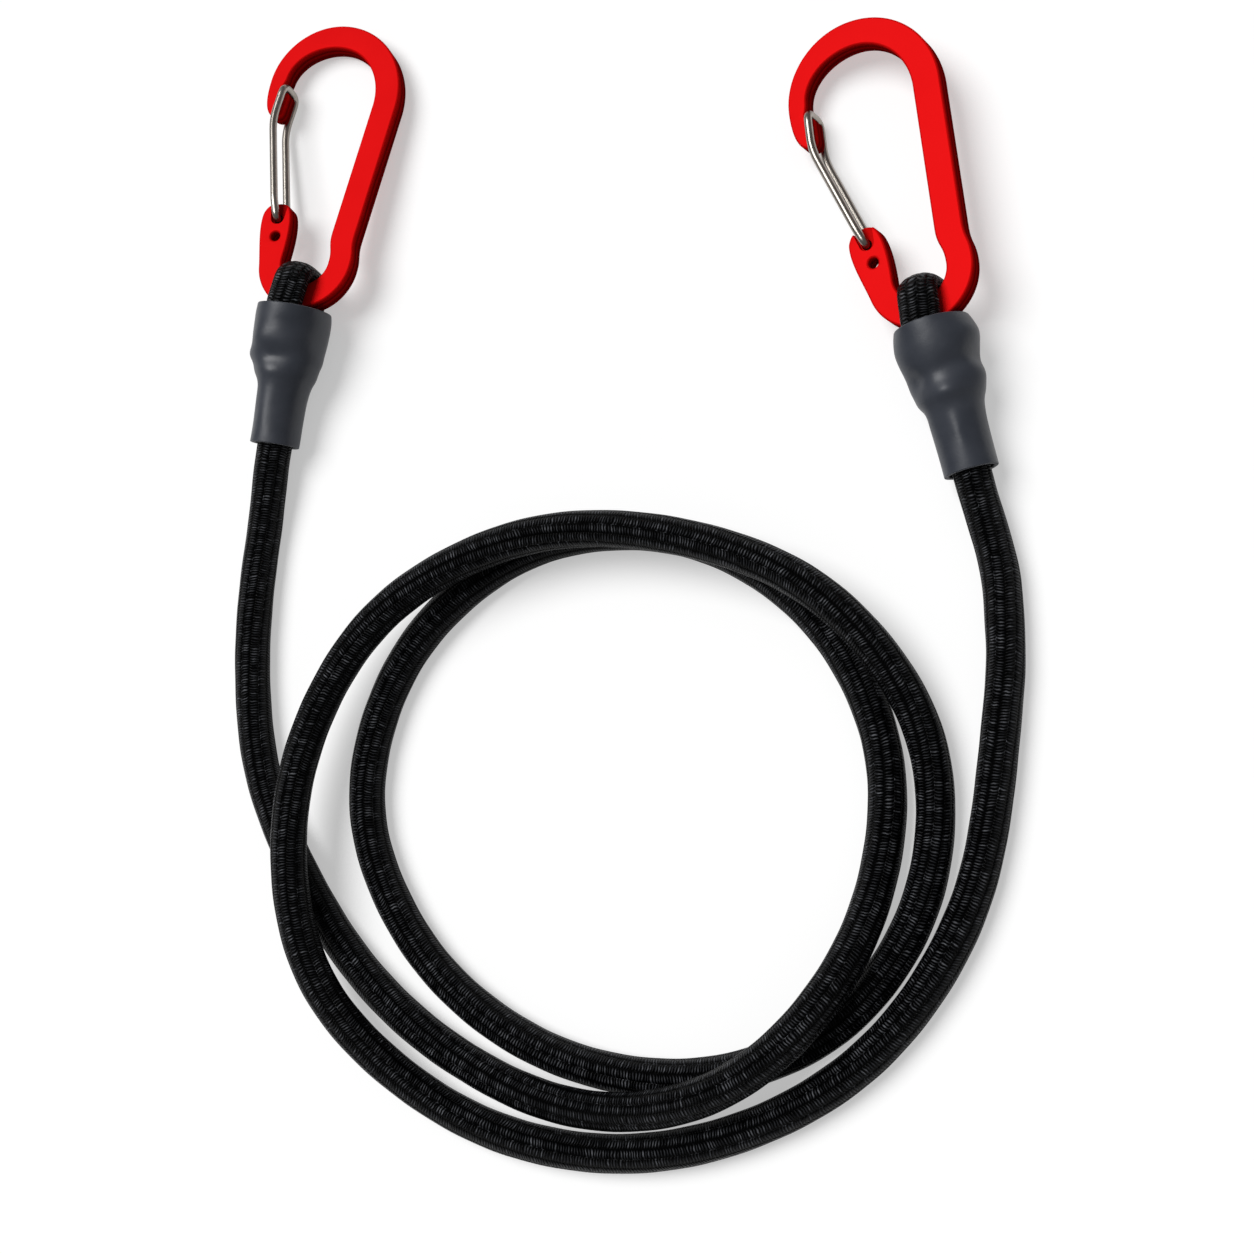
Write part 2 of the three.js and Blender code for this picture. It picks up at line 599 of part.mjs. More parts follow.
// The free cord's middle line, straight for a diameter from its face inside each sleeve
function freeRoute(left, right) {
  const inside = SLEEVE_LENGTH - CORD_INSERT;
  const exits = ({ sleeveFrame }) =>
    [inside, SLEEVE_LENGTH, inside + CORD_DIAMETER].map((along) =>
      point(0, -along, 0).applyMatrix4(sleeveFrame.matrixWorld),
    );
  const loops = LOOPS.map(([radius, height], i) => {
    const angle = radians(LOOPS_START + i * LOOPS_STEP);
    return point(LOOPS_X + radius * Math.cos(angle), LOOPS_Y + radius * Math.sin(angle), height);
  });
  return new THREE.CatmullRomCurve3([
    ...exits(right),
    ...RIGHT_LEAD.map((p) => point(...p)),
    ...loops,
    ...LEFT_LEAD.map((p) => point(...p)),
    ...exits(left).reverse(),
  ]);
}

function freeStations(route) {
  const count = Math.round(route.getLength() / RING_SPACING);
  return route.getSpacedPoints(count).map((centre, i) => {
    const tangent = route.getTangentAt(i / count);
    centre.z = Math.max(centre.z, LYING);
    return {
      centre,
      tangent,
      wide: point(0, 0, 1).cross(tangent),
      halfWidth: CORD_RADIUS,
      halfThickness: CORD_RADIUS,
      floor: 0,
    };
  });
}

// The least gap between stretches of a middle line that are more than a few diameters apart along it
function leastGap(route) {
  const length = route.getLength();
  const count = Math.round((GAP_POINTS * length) / CORD_DIAMETER);
  const points = route.getSpacedPoints(count);
  const apart = GAP_APART * GAP_POINTS;
  let least = Infinity;
  points.forEach((p, i) => {
    for (let k = i + apart; k < points.length; k++) least = Math.min(least, p.distanceTo(points[k]));
  });
  return least - CORD_DIAMETER;
}

const bungee = new THREE.Group();
const ends = new THREE.Group();
const frames = {};
for (const end of ENDS) {
  const shape = plateShape();
  const { sleeveFrame, plateFrame } = endFrames(end, shape.getPoints(ARC_STEPS));
  frames[end.side] = { sleeveFrame, plateFrame };
  plateFrame.add(
    named(`${end.side}_carabiner_body`, carabinerBody(shape), material.red),
    named(`${end.side}_wire_gate`, wireGate(), material.wire),
  );
  sleeveFrame.add(
    named(`${end.side}_sleeve`, sleeve(), material.sleeve),
    named(`${end.side}_crimp`, crimp(), material.steel),
  );
  const stations = loopStations(frames[end.side], end.legSide);
  ends.add(plateFrame, sleeveFrame, ...cordPieces(`${end.side}_loop`, stations));
}

const route = freeRoute(frames.left, frames.right);
const middle = new THREE.Box3().setFromObject(ends, true).getCenter(point(0, 0, 0));
bungee.add(ends, ...cordPieces("cord", freeStations(route)));
bungee.position.set(-middle.x, -middle.y, 0);

console.log(`free cord ${route.getLength().toFixed(1)} mm, least gap to itself ${leastGap(route).toFixed(2)} mm`);

export default bungee;
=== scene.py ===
import json
import math

import bpy
import numpy as np
from mathutils import Matrix, Vector


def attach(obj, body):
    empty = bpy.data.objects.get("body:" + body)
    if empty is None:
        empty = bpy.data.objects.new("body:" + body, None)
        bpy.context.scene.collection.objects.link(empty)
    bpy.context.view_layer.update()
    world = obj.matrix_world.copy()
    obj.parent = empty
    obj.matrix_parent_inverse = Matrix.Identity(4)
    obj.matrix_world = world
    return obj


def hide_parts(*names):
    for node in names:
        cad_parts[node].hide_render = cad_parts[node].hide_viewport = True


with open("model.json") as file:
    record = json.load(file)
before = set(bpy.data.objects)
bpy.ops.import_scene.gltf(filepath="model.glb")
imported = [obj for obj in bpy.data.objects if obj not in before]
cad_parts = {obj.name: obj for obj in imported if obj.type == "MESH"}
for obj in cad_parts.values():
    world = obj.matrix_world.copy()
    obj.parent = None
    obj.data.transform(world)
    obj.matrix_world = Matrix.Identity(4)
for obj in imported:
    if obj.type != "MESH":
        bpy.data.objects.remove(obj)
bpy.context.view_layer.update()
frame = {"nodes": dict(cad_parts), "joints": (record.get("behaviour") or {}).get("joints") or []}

# Lengths are in millimetres, as in the CAD source, and become metres where a mesh or a point is made
MM = 0.001

# From the frame in which the cord's route is written to the frame of the part
SHIFT = np.array((4.7201, -98.995, 0.0))

# Camera of the photograph
CAMERA_PLACE = (139.1, -180.2, 431.8)
CAMERA_TARGET = (4.42, -99.32, 0.0)
CAMERA_LENS = 53.68
CAMERA_SENSOR = 36.0

# Cord
CORD_DIAMETER = 9.0
CORD_RADIUS = CORD_DIAMETER / 2
PRESSED = 0.9
LYING = CORD_RADIUS - PRESSED

# Braid: columns of stitches round the cord, and how far its outline rises and falls
COLUMNS = 12
POINTS_PER_COLUMN = 5
RIB_PITCH = 0.7
RING_STEP = 0.9
GROOVE = 0.08
TWIST_LENGTH = 700.0
SWELL = 0.05
SWELL_LENGTH = 5.3
SHORT_SWELL_LENGTH = 2.9
LOOP_BRAID_START = 40.0

# The map for baking: the gap between its strips, the free cord's strips, and the size and place of a tube's
# end faces on it
MAP_GAP = 1.0
CORD_STRIPS = 7
MAP_CAP_SHARE = 0.002
MAP_CAP_PLACE_SHARE = 0.997

# How the route is smoothed, as seen from above: reach, rings to each side, and how it fades in from the ends
EASE_REACH = 7.0
EASE_RINGS = 24
EASE_LENGTH = 40.0
EASE_DELAY_SHARE = 0.6

# Carabiner, as in the CAD source
PLATE_THICKNESS = 5.0
EDGE = 0.55
FACE_FROM_SHARE = 0.495
EYE_RADIUS = 6.8
BAR_WIDTH = 6.6
SPINE_INSET = 1.6
SPINE_WIDTH = 7.0
SPINE_START = 9.0
SPINE_END = 46.0
CROWN_HEIGHT = 68.6
CROWN_MIDDLE = -9.4
CROWN_WIDTH = 6.7
NOSE_SIDE_RADIUS = 18.0
NOSE_NECK_WIDTH = 4.9
NOSE_HEAD_WIDTH = 6.6
NOSE_BOTTOM = 39.8
CATCH_LEAN = 35.0
EAR_RADIUS = 4.4
EAR_HOLE_RADIUS = 1.6
EAR_HOLE_DROP = 5.3
EAR_HOLE_INSET = 1.3
EAR_TOP_ANGLE = 60.0
EAR_FOOT_ANGLE = 195.0
EAR_RISE_SHARE = 0.75
EAR_FLARE_SHARE = 0.6
NOSE_SLOPE_SHARE = 0.2
NOSE_FLAT_SHARE = 0.7
SAME_POINT = 0.01
WELD = 0.002
BEVEL_STEPS = 3
PLATE_SHARP_ANGLE = 28
FIT = 0.3

# Wire gate
WIRE_RADIUS = 1.0
PIVOT = (-12.2, 10.9)
KINK = (-22.0, 38.4)
TIP = (-21.9, 48.6)
GATE_CORNER = 2.7
PIN_CORNER = 1.2
KINK_CORNER = 3.5
RISE_LENGTH = 4.6
POCKET_DEPTH = 1.15
POCKET_RADIUS = 1.95
POCKET_PLAY = 0.6
POCKET_STEPS = 20
WIRE_SIDES = 24
WIRE_STEP = 0.35

# Sleeve and what it holds
SLEEVE_LENGTH = 36.0
SLEEVE_WALL = 1.1
SLEEVE_LIFT = 0.1
SLEEVE_END_HALF = 6.4
MOUTH_HALF_HEIGHT = 10.5
MOUTH_TO_EYE = 13.0
WRAP_HALF_WIDTH = 5.0
WRAP_HALF_THICKNESS = 2.8
CRIMPED_HALF_WIDTH = 3.2
CRIMPED_HALF_THICKNESS = 3.9
CRIMP_START = 12.5
CRIMP_END = 17.5
TAIL_END = 19.7
CORD_INSERT = 3.3
LEG_SPREAD = CRIMPED_HALF_WIDTH + FIT
WRAP_REACH = PLATE_THICKNESS / 2 + FIT + WRAP_HALF_THICKNESS
BAR_RADIUS = EYE_RADIUS + BAR_WIDTH / 2
LEG_STEPS = 5
WRAP_STEPS = 3

# The carrying leg from the sleeve's lower end to the tail's end: shares of that way, of the spread, and the
# squeeze
LEAD_SHARES = [(0.62, 0, 0), (0.42, 0.1, 0.05), (0.22, 0.5, 0.35), (0, 0.96, 0.9)]

# Steps of the curves
ROUTE_STEPS = 60
LOOP_STEPS = 30
PROFILE_STEPS = 20
WIRE_CORNER_STEPS = 10
CIRCLE_STEPS = 36

# Both ends: how sleeve and loop are turned, in degrees, and the side of the leg that carries on as the free
# cord
ENDS = {
    "left": {"sleeve_yaw": -11.0, "roll": 0.0, "leg": 1},
    "right": {"sleeve_yaw": 12.5, "roll": 14.0, "leg": -1},
}

# The free cord's route, the points of the CAD source: a lead, the loops as radius and height at steps of an
# angle about their middle, and a lead
LOOPS_X = 4.5
LOOPS_Y = -55.0
LOOPS_START = 20.0
LOOPS_STEP = -30.0
RIGHT_LEAD = [(88, 20, 4.8), (89.8, 12.5, 3.8), (91.1, 5, LYING), (91.5, -5, LYING), (91.5, -15, LYING)]
LOOPS = [
    (91.5, LYING), (78.5, LYING), (72, LYING), (69, LYING), (71.5, LYING), (78.5, 4.2),
    (86.5, 12.2), (89, 13.5), (88.5, 12.4), (81, 13.2), (74.5, 13.3), (74, 12.8),
    (73, 5.6), (68, LYING), (62, LYING), (55.5, LYING), (52.5, LYING), (54.5, LYING),
    (62, LYING), (73.5, LYING), (79.5, LYING), (80.5, LYING), (76, LYING), (69, LYING),
    (62.5, LYING), (57, 5), (57, 13.4), (59, 13.4), (61.5, 8), (66.5, LYING),
    (78.5, LYING), (102, LYING),
]
LEFT_LEAD = [
    (-101, -6, LYING), (-101, 3, LYING), (-100.6, 12, LYING), (-99.8, 21, LYING), (-98.6, 30, 3.8),
    (-97.3, 38.5, 4.8),
]


def joint(name):
    """A joint's place and axis."""
    found = next(j for j in frame["joints"] if j["name"] == name)
    return Vector(found["pos_m"]) / MM, Vector(found["axis"]).normalized()


def plate_frame(side):
    """The carabiner's own frame, from its swing's axis through the eye and its gate's pivot."""
    eye, normal = joint(f"{side}_carabiner_swing")
    pivot, _ = joint(f"{side}_gate_pivot")
    along = (pivot - eye).normalized()
    turn = Matrix.Rotation(-math.atan2(PIVOT[1], PIVOT[0]), 3, normal)
    wide = turn @ along
    return Matrix.Translation(eye) @ Matrix((wide, normal.cross(wide), normal)).transposed().to_4x4()


def sleeve_frame(end):
    """The sleeve's own frame. Its origin is in the mouth, in line with the eye's bar; +Y is to the crown."""
    yaw = math.radians(end["sleeve_yaw"])
    tilt = math.asin((MOUTH_HALF_HEIGHT - SLEEVE_END_HALF) / SLEEVE_LENGTH)
    bar = end["plate"] @ Vector((0, -BAR_RADIUS, 0))
    back = MOUTH_TO_EYE - BAR_RADIUS
    height = MOUTH_HALF_HEIGHT + SLEEVE_LIFT
    place = Vector((bar.x + math.sin(yaw) * back, bar.y - math.cos(yaw) * back, height))
    turn = Matrix.Rotation(yaw, 4, "Z") @ Matrix.Rotation(tilt, 4, "X")
    return Matrix.Translation(place) @ turn @ Matrix.Rotation(math.radians(-end["roll"]), 4, "Y")


for side, end in ENDS.items():
    end["plate"] = plate_frame(side)
    end["sleeve"] = sleeve_frame(end)


def at(matrix, *p):
    return np.array(matrix @ Vector(p))


def across_of(matrix):
    """The direction of a frame's X axis."""
    return np.array(matrix.to_3x3() @ Vector((1, 0, 0)))


# Camera
def make_camera():
    place = Vector(CAMERA_PLACE) * MM
    target = Vector(CAMERA_TARGET) * MM
    back = (place - target).normalized()
    right = Vector((0, 1, 0)).cross(back).normalized()
    up = back.cross(right)
    cam = bpy.data.objects.new("camera", bpy.data.cameras.new("camera"))
    cam.matrix_world = Matrix.Translation(place) @ Matrix((right, up, back)).transposed().to_4x4()
    cam.data.sensor_width = CAMERA_SENSOR
    cam.data.lens = CAMERA_LENS
    cam.data.clip_start = 0.01
    bpy.context.scene.collection.objects.link(cam)
    bpy.context.scene.camera = cam


make_camera()


# Curves
def catmull_rom(points, per_span):
    """The centripetal curve through points that the CAD source uses."""
    p = np.array(points, float)
    p = np.vstack([2 * p[0] - p[1], p, 2 * p[-1] - p[-2]])
    out = []
    for i in range(1, len(p) - 2):
        p0, p1, p2, p3 = p[i - 1], p[i], p[i + 1], p[i + 2]
        d0, d1, d2 = (max(np.linalg.norm(b - a) ** 0.5, 1e-4) for a, b in ((p0, p1), (p1, p2), (p2, p3)))
        m1 = ((p1 - p0) / d0 - (p2 - p0) / (d0 + d1) + (p2 - p1) / d1) * d1
        m2 = ((p2 - p1) / d1 - (p3 - p1) / (d1 + d2) + (p3 - p2) / d2) * d1
        t = np.linspace(0, 1, per_span, endpoint=False)[:, None]
        a, b = 2 * p1 - 2 * p2 + m1 + m2, -3 * p1 + 3 * p2 - 2 * m1 - m2
        out.append(a * t**3 + b * t**2 + m1 * t + p1)
    return np.vstack([*out, p[-2][None]])


def spaced(line, step):
    """Points about step apart along a line; columns after the third are carried along."""
    along = np.concatenate([[0], np.cumsum(np.linalg.norm(np.diff(line[:, :3], axis=0), axis=1))])
    where = np.linspace(0, along[-1], max(2, int(round(along[-1] / step)) + 1))
    return np.stack([np.interp(where, along, line[:, k]) for k in range(line.shape[1])], axis=1)


def eased(line):
    """Takes slight corners out of a route as seen from above. Its ends and its heights stay."""
    rings = np.arange(-EASE_RINGS, EASE_RINGS + 1)
    kernel = np.exp(-0.5 * (rings * RING_STEP / EASE_REACH) ** 2)
    padded = np.pad(line[:, :2], ((EASE_RINGS, EASE_RINGS), (0, 0)), "reflect", reflect_type="odd")
    smooth = np.stack([np.convolve(padded[:, k], kernel / kernel.sum(), "valid") for k in range(2)], axis=1)
    from_end = np.minimum(np.arange(len(line)), np.arange(len(line))[::-1]) * RING_STEP
    share = np.clip(from_end / EASE_LENGTH - EASE_DELAY_SHARE, 0, 1)
    line[:, :2] += (smooth - line[:, :2]) * share[:, None]
    return line


def unit(v):
    return v / np.maximum(np.linalg.norm(v, axis=-1, keepdims=True), 1e-12)


# Meshes
def new_object(name, vertices, faces, maps=(), material=None):
    """A smooth object from vertices in millimetres."""
    mesh = bpy.data.meshes.new(name)
    mesh.from_pydata([tuple(v) for v in vertices * MM], [], faces)
    for map_name, corners in maps:
        layer = mesh.uv_layers.new(name=map_name)
        layer.uv.foreach_set("vector", np.asarray(corners, np.float32).ravel())
    mesh.shade_smooth()
    obj = bpy.data.objects.new(name, mesh)
    bpy.context.scene.collection.objects.link(obj)
    if material:
        mesh.materials.append(material)
    return obj


def quads(rings, sides):
    """The faces between rings of points."""
    i = np.arange(rings - 1)[:, None] * sides
    k = np.arange(sides)[None]
    n = (k + 1) % sides
    return np.stack([i + k, i + n, i + sides + n, i + sides + k], axis=-1).reshape(-1, 4)


def face_corners(around, along):
    """Map coordinates of each face's corners, from its low and high place around and along."""
    (a, b), (c, d) = around, along
    return np.stack([a, b, b, a], -1), np.stack([c, c, d, d], -1)


def braided_tube(name, line, wide, half_wide, half_thick, along_start=0.0, strips=1):
    """A closed tube of braid along ring centres, with the shallow grooves between its columns of stitches.

    Nothing of it lies below the floor. Its map Braid counts columns round the cord and ribs along it, and its
    map OFBake lies in strips."""
    sides = COLUMNS * POINTS_PER_COLUMN
    count = len(line)
    tangent = unit(np.gradient(line, axis=0))
    wide = unit(wide - (wide * tangent).sum(1, keepdims=True) * tangent)
    thick = np.cross(tangent, wide)
    along = np.concatenate([[0], np.cumsum(np.linalg.norm(np.diff(line, axis=0), axis=1))]) + along_start
    k = np.arange(sides)
    turn = 2 * math.pi * k / sides
    angle = turn + (2 * math.pi * along / TWIST_LENGTH)[:, None]
    groove = GROOVE * (k % POINTS_PER_COLUMN == 0)
    swell = SWELL * np.sin(along / SWELL_LENGTH)[:, None] * np.sin(along / SHORT_SWELL_LENGTH + 1.0)[:, None]
    a = (np.asarray(half_wide) * np.ones(count))[:, None] - groove + swell
    b = (np.asarray(half_thick) * np.ones(count))[:, None] - groove + swell
    across = (np.cos(angle) * a)[..., None] * wide[:, None]
    up = (np.sin(angle) * b)[..., None] * thick[:, None]
    points = line[:, None] + across + up
    points[..., 2] = np.maximum(points[..., 2], 0.0)

    u = np.arange(sides + 1) / POINTS_PER_COLUMN
    v = along / RIB_PITCH
    i, c = np.meshgrid(np.arange(count - 1), k, indexing="ij")
    braid = np.stack(face_corners((u[c], u[c + 1]), (v[i], v[i + 1])), axis=-1).reshape(-1, 2)

    per_strip = math.ceil((count - 1) / strips)
    strip = i // per_strip
    length = per_strip * (along[-1] - along[0]) / (count - 1)
    round_it = 2 * math.pi * CORD_RADIUS
    size = max(length, strips * (round_it + MAP_GAP)) + 2 * MAP_GAP
    x = [(along[ring] - along[0] - strip * length + MAP_GAP) / size for ring in (i, i + 1)]
    y = [(strip * (round_it + MAP_GAP) + side / sides * round_it + MAP_GAP / 2) / size for side in (c, c + 1)]
    bake = np.stack(face_corners(y, x)[::-1], axis=-1).reshape(-1, 2)

    ends = [list(range(sides))[::-1], list(range((count - 1) * sides, count * sides))]
    cap = np.stack([np.cos(turn), np.sin(turn)], -1) * MAP_CAP_SHARE + MAP_CAP_PLACE_SHARE
    maps = [("Braid", np.vstack([braid, np.zeros((2 * sides, 2))])), ("OFBake", np.vstack([bake, cap, cap]))]
    return new_object(name, points.reshape(-1, 3), [*map(tuple, quads(count, sides)), *ends], maps, BRAID)


# Material helpers
class Nodes:
    """A material with its shader, and short ways to add nodes to it."""

    def __init__(self, name, rough=0.5, metal=0.0, colour=(0.5, 0.5, 0.5), specular=0.5):
        self.material = bpy.data.materials.new(name)
        self.material.use_nodes = True
        self.tree = self.material.node_tree
        self.shader = self.tree.nodes["Principled BSDF"]
        self.set("Base Color", (*colour, 1))
        self.set("Roughness", rough)
        self.set("Metallic", metal)
        self.set("Specular IOR Level", specular)

    def set(self, socket, value):
        self.shader.inputs[socket].default_value = value

    def link(self, value, socket):
        if isinstance(value, bpy.types.NodeSocket):
            self.tree.links.new(value, socket)
        else:
            socket.default_value = value

    def to(self, value, socket):
        self.link(value, self.shader.inputs[socket])

    def node(self, kind, **values):
        made = self.tree.nodes.new(kind)
        for key, value in values.items():
            setattr(made, key, value)
        return made

    def math(self, operation, *values):
        made = self.node("ShaderNodeMath", operation=operation)
        for value, socket in zip(values, made.inputs):
            self.link(value, socket)
        return made.outputs[0]

    def noise(self, vector, scale, detail=2.0, roughness=0.5):
        made = self.node("ShaderNodeTexNoise")
        self.link(vector, made.inputs["Vector"])
        made.inputs["Scale"].default_value = scale
        made.inputs["Detail"].default_value = detail
        made.inputs["Roughness"].default_value = roughness
        return made.outputs["Fac"]

    def ramp(self, value, stops):
        made = self.node("ShaderNodeValToRGB")
        self.link(value, made.inputs[0])
        elements = made.color_ramp.elements
        while len(elements) < len(stops):
            elements.new(0.5)
        for element, (place, colour) in zip(elements, stops):
            element.position = place
            element.color = (*colour, 1)
        return made.outputs[0]

    def mapped(self, value, low, high, new_low, new_high):
        made = self.node("ShaderNodeMapRange")
        self.link(value, made.inputs[0])
        for k, number in enumerate((low, high, new_low, new_high)):
            made.inputs[k + 1].default_value = number
        return made.outputs[0]

    def bump(self, height, distance, strength=1.0, normal=None):
        made = self.node("ShaderNodeBump")
        made.inputs["Strength"].default_value = strength
        made.inputs["Distance"].default_value = distance
        self.link(height, made.inputs["Height"])
        if normal is not None:
            self.link(normal, made.inputs["Normal"])
        return made.outputs[0]

    def uv(self, name):
        split = self.node("ShaderNodeSeparateXYZ")
        self.link(self.node("ShaderNodeUVMap", uv_map=name).outputs[0], split.inputs[0])
        return split.outputs[0], split.outputs[1]

    def place(self):
        return self.node("ShaderNodeTexCoord").outputs["Object"]


def braid_material():
    """Ribs across the cord in columns, which lean and dive towards the edges of each column, with painted
    highlights and painted shade in their colour.
    """
    m = Nodes("braid", rough=0.36, colour=(0.003, 0.003, 0.0035), specular=0.06)
    u, v = m.uv("Braid")
    column = m.math("FLOOR", u)
    near = m.math("ABSOLUTE", m.math("MULTIPLY", m.math("SUBTRACT", m.math("FRACT", u), 0.5), 2.0))
    edge = m.math("FLOORED_MODULO", m.math("FLOOR", m.math("ADD", u, 0.5)), 2.0)
    way = m.math("SUBTRACT", m.math("MULTIPLY", edge, 2.0), 1.0)
    lean = m.math("MULTIPLY", m.math("MULTIPLY", way, m.math("POWER", near, 2.0)), 0.3)
    stagger = m.math("MULTIPLY", m.math("FLOORED_MODULO", column, 2.0), 0.5)
    wander = m.mapped(m.noise(m.place(), 300.0, 3.0), 0.0, 1.0, -0.9, 0.9)
    ribs = m.math("ADD", m.math("ADD", v, lean), m.math("ADD", stagger, wander))
    wave = m.math("ABSOLUTE", m.math("SINE", m.math("MULTIPLY", ribs, math.pi)))
    dive = m.math("SUBTRACT", 1.0, m.math("MULTIPLY", m.math("POWER", near, 2.5), 0.7))
    height = m.math("MULTIPLY", wave, dive)
    cell = m.node("ShaderNodeTexWhiteNoise", noise_dimensions="2D")
    both = m.node("ShaderNodeCombineXYZ")
    m.link(column, both.inputs[0])
    m.link(m.math("FLOOR", ribs), both.inputs[1])
    m.link(both.outputs[0], cell.inputs["Vector"])
    # Painted glints: patches where the painted highlights are stronger or weaker
    glint_patches = m.mapped(m.noise(m.place(), 350.0, 3.0, 0.6), 0.3, 0.7, 0.55, 1.1)
    # Painted highlight on the rib crests, stronger or weaker per rib at random, and painted shade in the
    # grooves between them
    crest_highlight = m.math("MULTIPLY", m.math("POWER", height, 2.0), m.mapped(cell.outputs[0], 0.0, 1.0, 0.5, 1.15))
    # Painted highlight along the ends of the ribs at every other column edge
    edge_highlight = m.math("MULTIPLY", m.math("POWER", near, 7.0), m.mapped(cell.outputs[0], 0.45, 1.0, 0.0, 1.3))
    edge_highlight = m.math("MULTIPLY", m.math("MULTIPLY", edge_highlight, edge), wave)
    tone = m.math("MULTIPLY", m.math("ADD", crest_highlight, edge_highlight), glint_patches)
    # From painted shade in the grooves to painted highlight on the crests
    stops = [
        (0.0, (0.0003, 0.0003, 0.0004)), (0.25, (0.0015, 0.0015, 0.0018)), (0.6, (0.026, 0.0271, 0.0305)),
        (1.0, (0.115, 0.119, 0.13)),
    ]
    m.to(m.ramp(tone, stops), "Base Color")
    m.to(m.mapped(cell.outputs[0], 0.0, 1.0, 0.26, 0.46), "Roughness")
    m.to(m.bump(height, 0.0004, 1.0), "Normal")
    return m.material


def red_material():
    """Satin on the flat faces, and darker bands along the walls, which the plate's attribute tells apart: the
    walls are painted shade with bands of painted reflection.
    """
    m = Nodes("red_anodised", rough=0.42, metal=0.06, colour=(0.72, 0.0068, 0.0076), specular=0.0)
    m.set("Specular Tint", (0.8, 0.01, 0.01, 1))
    grain = m.noise(m.place(), 2600.0, 3.0, 0.6)
    patches = m.noise(m.place(), 60.0, 3.0, 0.55)
    face = m.ramp(patches, [(0.3, (0.69, 0.0062, 0.007)), (0.7, (0.75, 0.0074, 0.0082))])
    across = m.node("ShaderNodeAttribute", attribute_name="across").outputs["Fac"]
    # Painted reflection: streaks that wander along the walls
    reflection_streaks = m.mapped(m.noise(m.place(), 45.0, 2.0), 0.3, 0.7, -0.08, 0.08)
    # Painted shade on the walls, darkest in two bands, with lighter bands of painted reflection and a painted
    # highlight towards the faces
    wall_shade_stops = [
        (0.0, (0.3, 0.003, 0.003)), (0.28, (0.1, 0.001, 0.001)), (0.5, (0.33, 0.003, 0.003)),
        (0.62, (0.12, 0.001, 0.001)), (0.8, (0.4, 0.003, 0.003)), (1.0, (0.6, 0.004, 0.004)),
    ]
    both = m.node("ShaderNodeMix", data_type="RGBA")
    from_middle = m.math("ABSOLUTE", m.math("SUBTRACT", across, 0.5))
    colour_a, colour_b, colour_out = both.inputs[6], both.inputs[7], both.outputs[2]
    m.link(m.math("GREATER_THAN", from_middle, FACE_FROM_SHARE), both.inputs["Factor"])
    m.link(m.ramp(m.math("ADD", across, reflection_streaks), wall_shade_stops), colour_a)
    m.link(face, colour_b)
    m.to(colour_out, "Base Color")
    m.to(m.mapped(patches, 0.3, 0.7, 0.36, 0.46), "Roughness")
    m.to(m.bump(grain, 0.00002, 0.35), "Normal")
    return m.material


def wire_material():
    m = Nodes("stainless_wire", rough=0.3, metal=1.0, colour=(0.34, 0.31, 0.28))
    drawn = m.noise(m.place(), 90.0, 2.0, 0.5)
    m.to(m.ramp(drawn, [(0.3, (0.3, 0.275, 0.245)), (0.7, (0.38, 0.35, 0.315))]), "Base Color")
    m.to(m.mapped(drawn, 0.3, 0.7, 0.26, 0.34), "Roughness")
    return m.material


def sleeve_material():
    m = Nodes("sleeve", rough=0.42, colour=(0.036, 0.041, 0.053), specular=0.36)
    soft = m.noise(m.place(), 120.0, 3.0, 0.5)
    fine = m.noise(m.place(), 1800.0, 2.0, 0.5)
    m.to(m.ramp(soft, [(0.3, (0.032, 0.0365, 0.048)), (0.7, (0.041, 0.046, 0.059))]), "Base Color")
    m.to(m.mapped(soft, 0.3, 0.7, 0.34, 0.48), "Roughness")
    m.to(m.bump(fine, 0.00003, 0.5, m.bump(soft, 0.0006, 0.35)), "Normal")
    return m.material


def cut_edge_material():
    """The sleeve's sawn ends, paler and duller than its skin."""
    m = Nodes("sleeve_cut_edge", rough=0.7, colour=(0.16, 0.165, 0.18), specular=0.3)
    grain = m.noise(m.place(), 1200.0, 3.0, 0.6)
    m.to(m.ramp(grain, [(0.3, (0.1, 0.105, 0.12)), (0.7, (0.22, 0.225, 0.24))]), "Base Color")
    return m.material


def steel_material():
    m = Nodes("crimp_steel", rough=0.35, metal=1.0, colour=(0.6, 0.61, 0.62))
    grain = m.noise(m.place(), 1500.0, 3.0, 0.6)
    m.to(m.mapped(grain, 0.3, 0.7, 0.28, 0.42), "Roughness")
    m.to(m.ramp(grain, [(0.3, (0.55, 0.56, 0.57)), (0.7, (0.66, 0.67, 0.68))]), "Base Color")
    return m.material


BRAID = braid_material()
RED = red_material()
WIRE = wire_material()
SLEEVE = sleeve_material()
STEEL = steel_material()
CUT_EDGE = cut_edge_material()


# The free cord
def exits(end):
    """The straight first stretch of the cord, from its face inside a sleeve."""
    inside = SLEEVE_LENGTH - CORD_INSERT
    return [at(end["sleeve"], 0, -y, 0) for y in (inside, SLEEVE_LENGTH, inside + CORD_DIAMETER)]


def free_cord():
    loops = []
    for i, (radius, height) in enumerate(LOOPS):
        angle = math.radians(LOOPS_START + i * LOOPS_STEP)
        loops.append((LOOPS_X + radius * math.cos(angle), LOOPS_Y + radius * math.sin(angle), height))
    middle = [np.array(p) + SHIFT for p in [*RIGHT_LEAD, *loops, *LEFT_LEAD]]
    ways = {side: exits(end) for side, end in ENDS.items()}
    points = [*ways["right"], *middle, *ways["left"][::-1]]
    line = eased(spaced(catmull_rom(points, ROUTE_STEPS), RING_STEP))
    line[:, 2] = np.maximum(line[:, 2], LYING)
    wide = np.cross((0.0, 0.0, 1.0), unit(np.gradient(line, axis=0)))
    cord = braided_tube("cord", line, wide, CORD_RADIUS, CORD_RADIUS, strips=CORD_STRIPS)
    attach(cord, "cord")
    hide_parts("cord_jacket", "cord_core")


# The loop of cord round the bar of each carabiner
def mix(a, b, t):
    return a + (b - a) * t


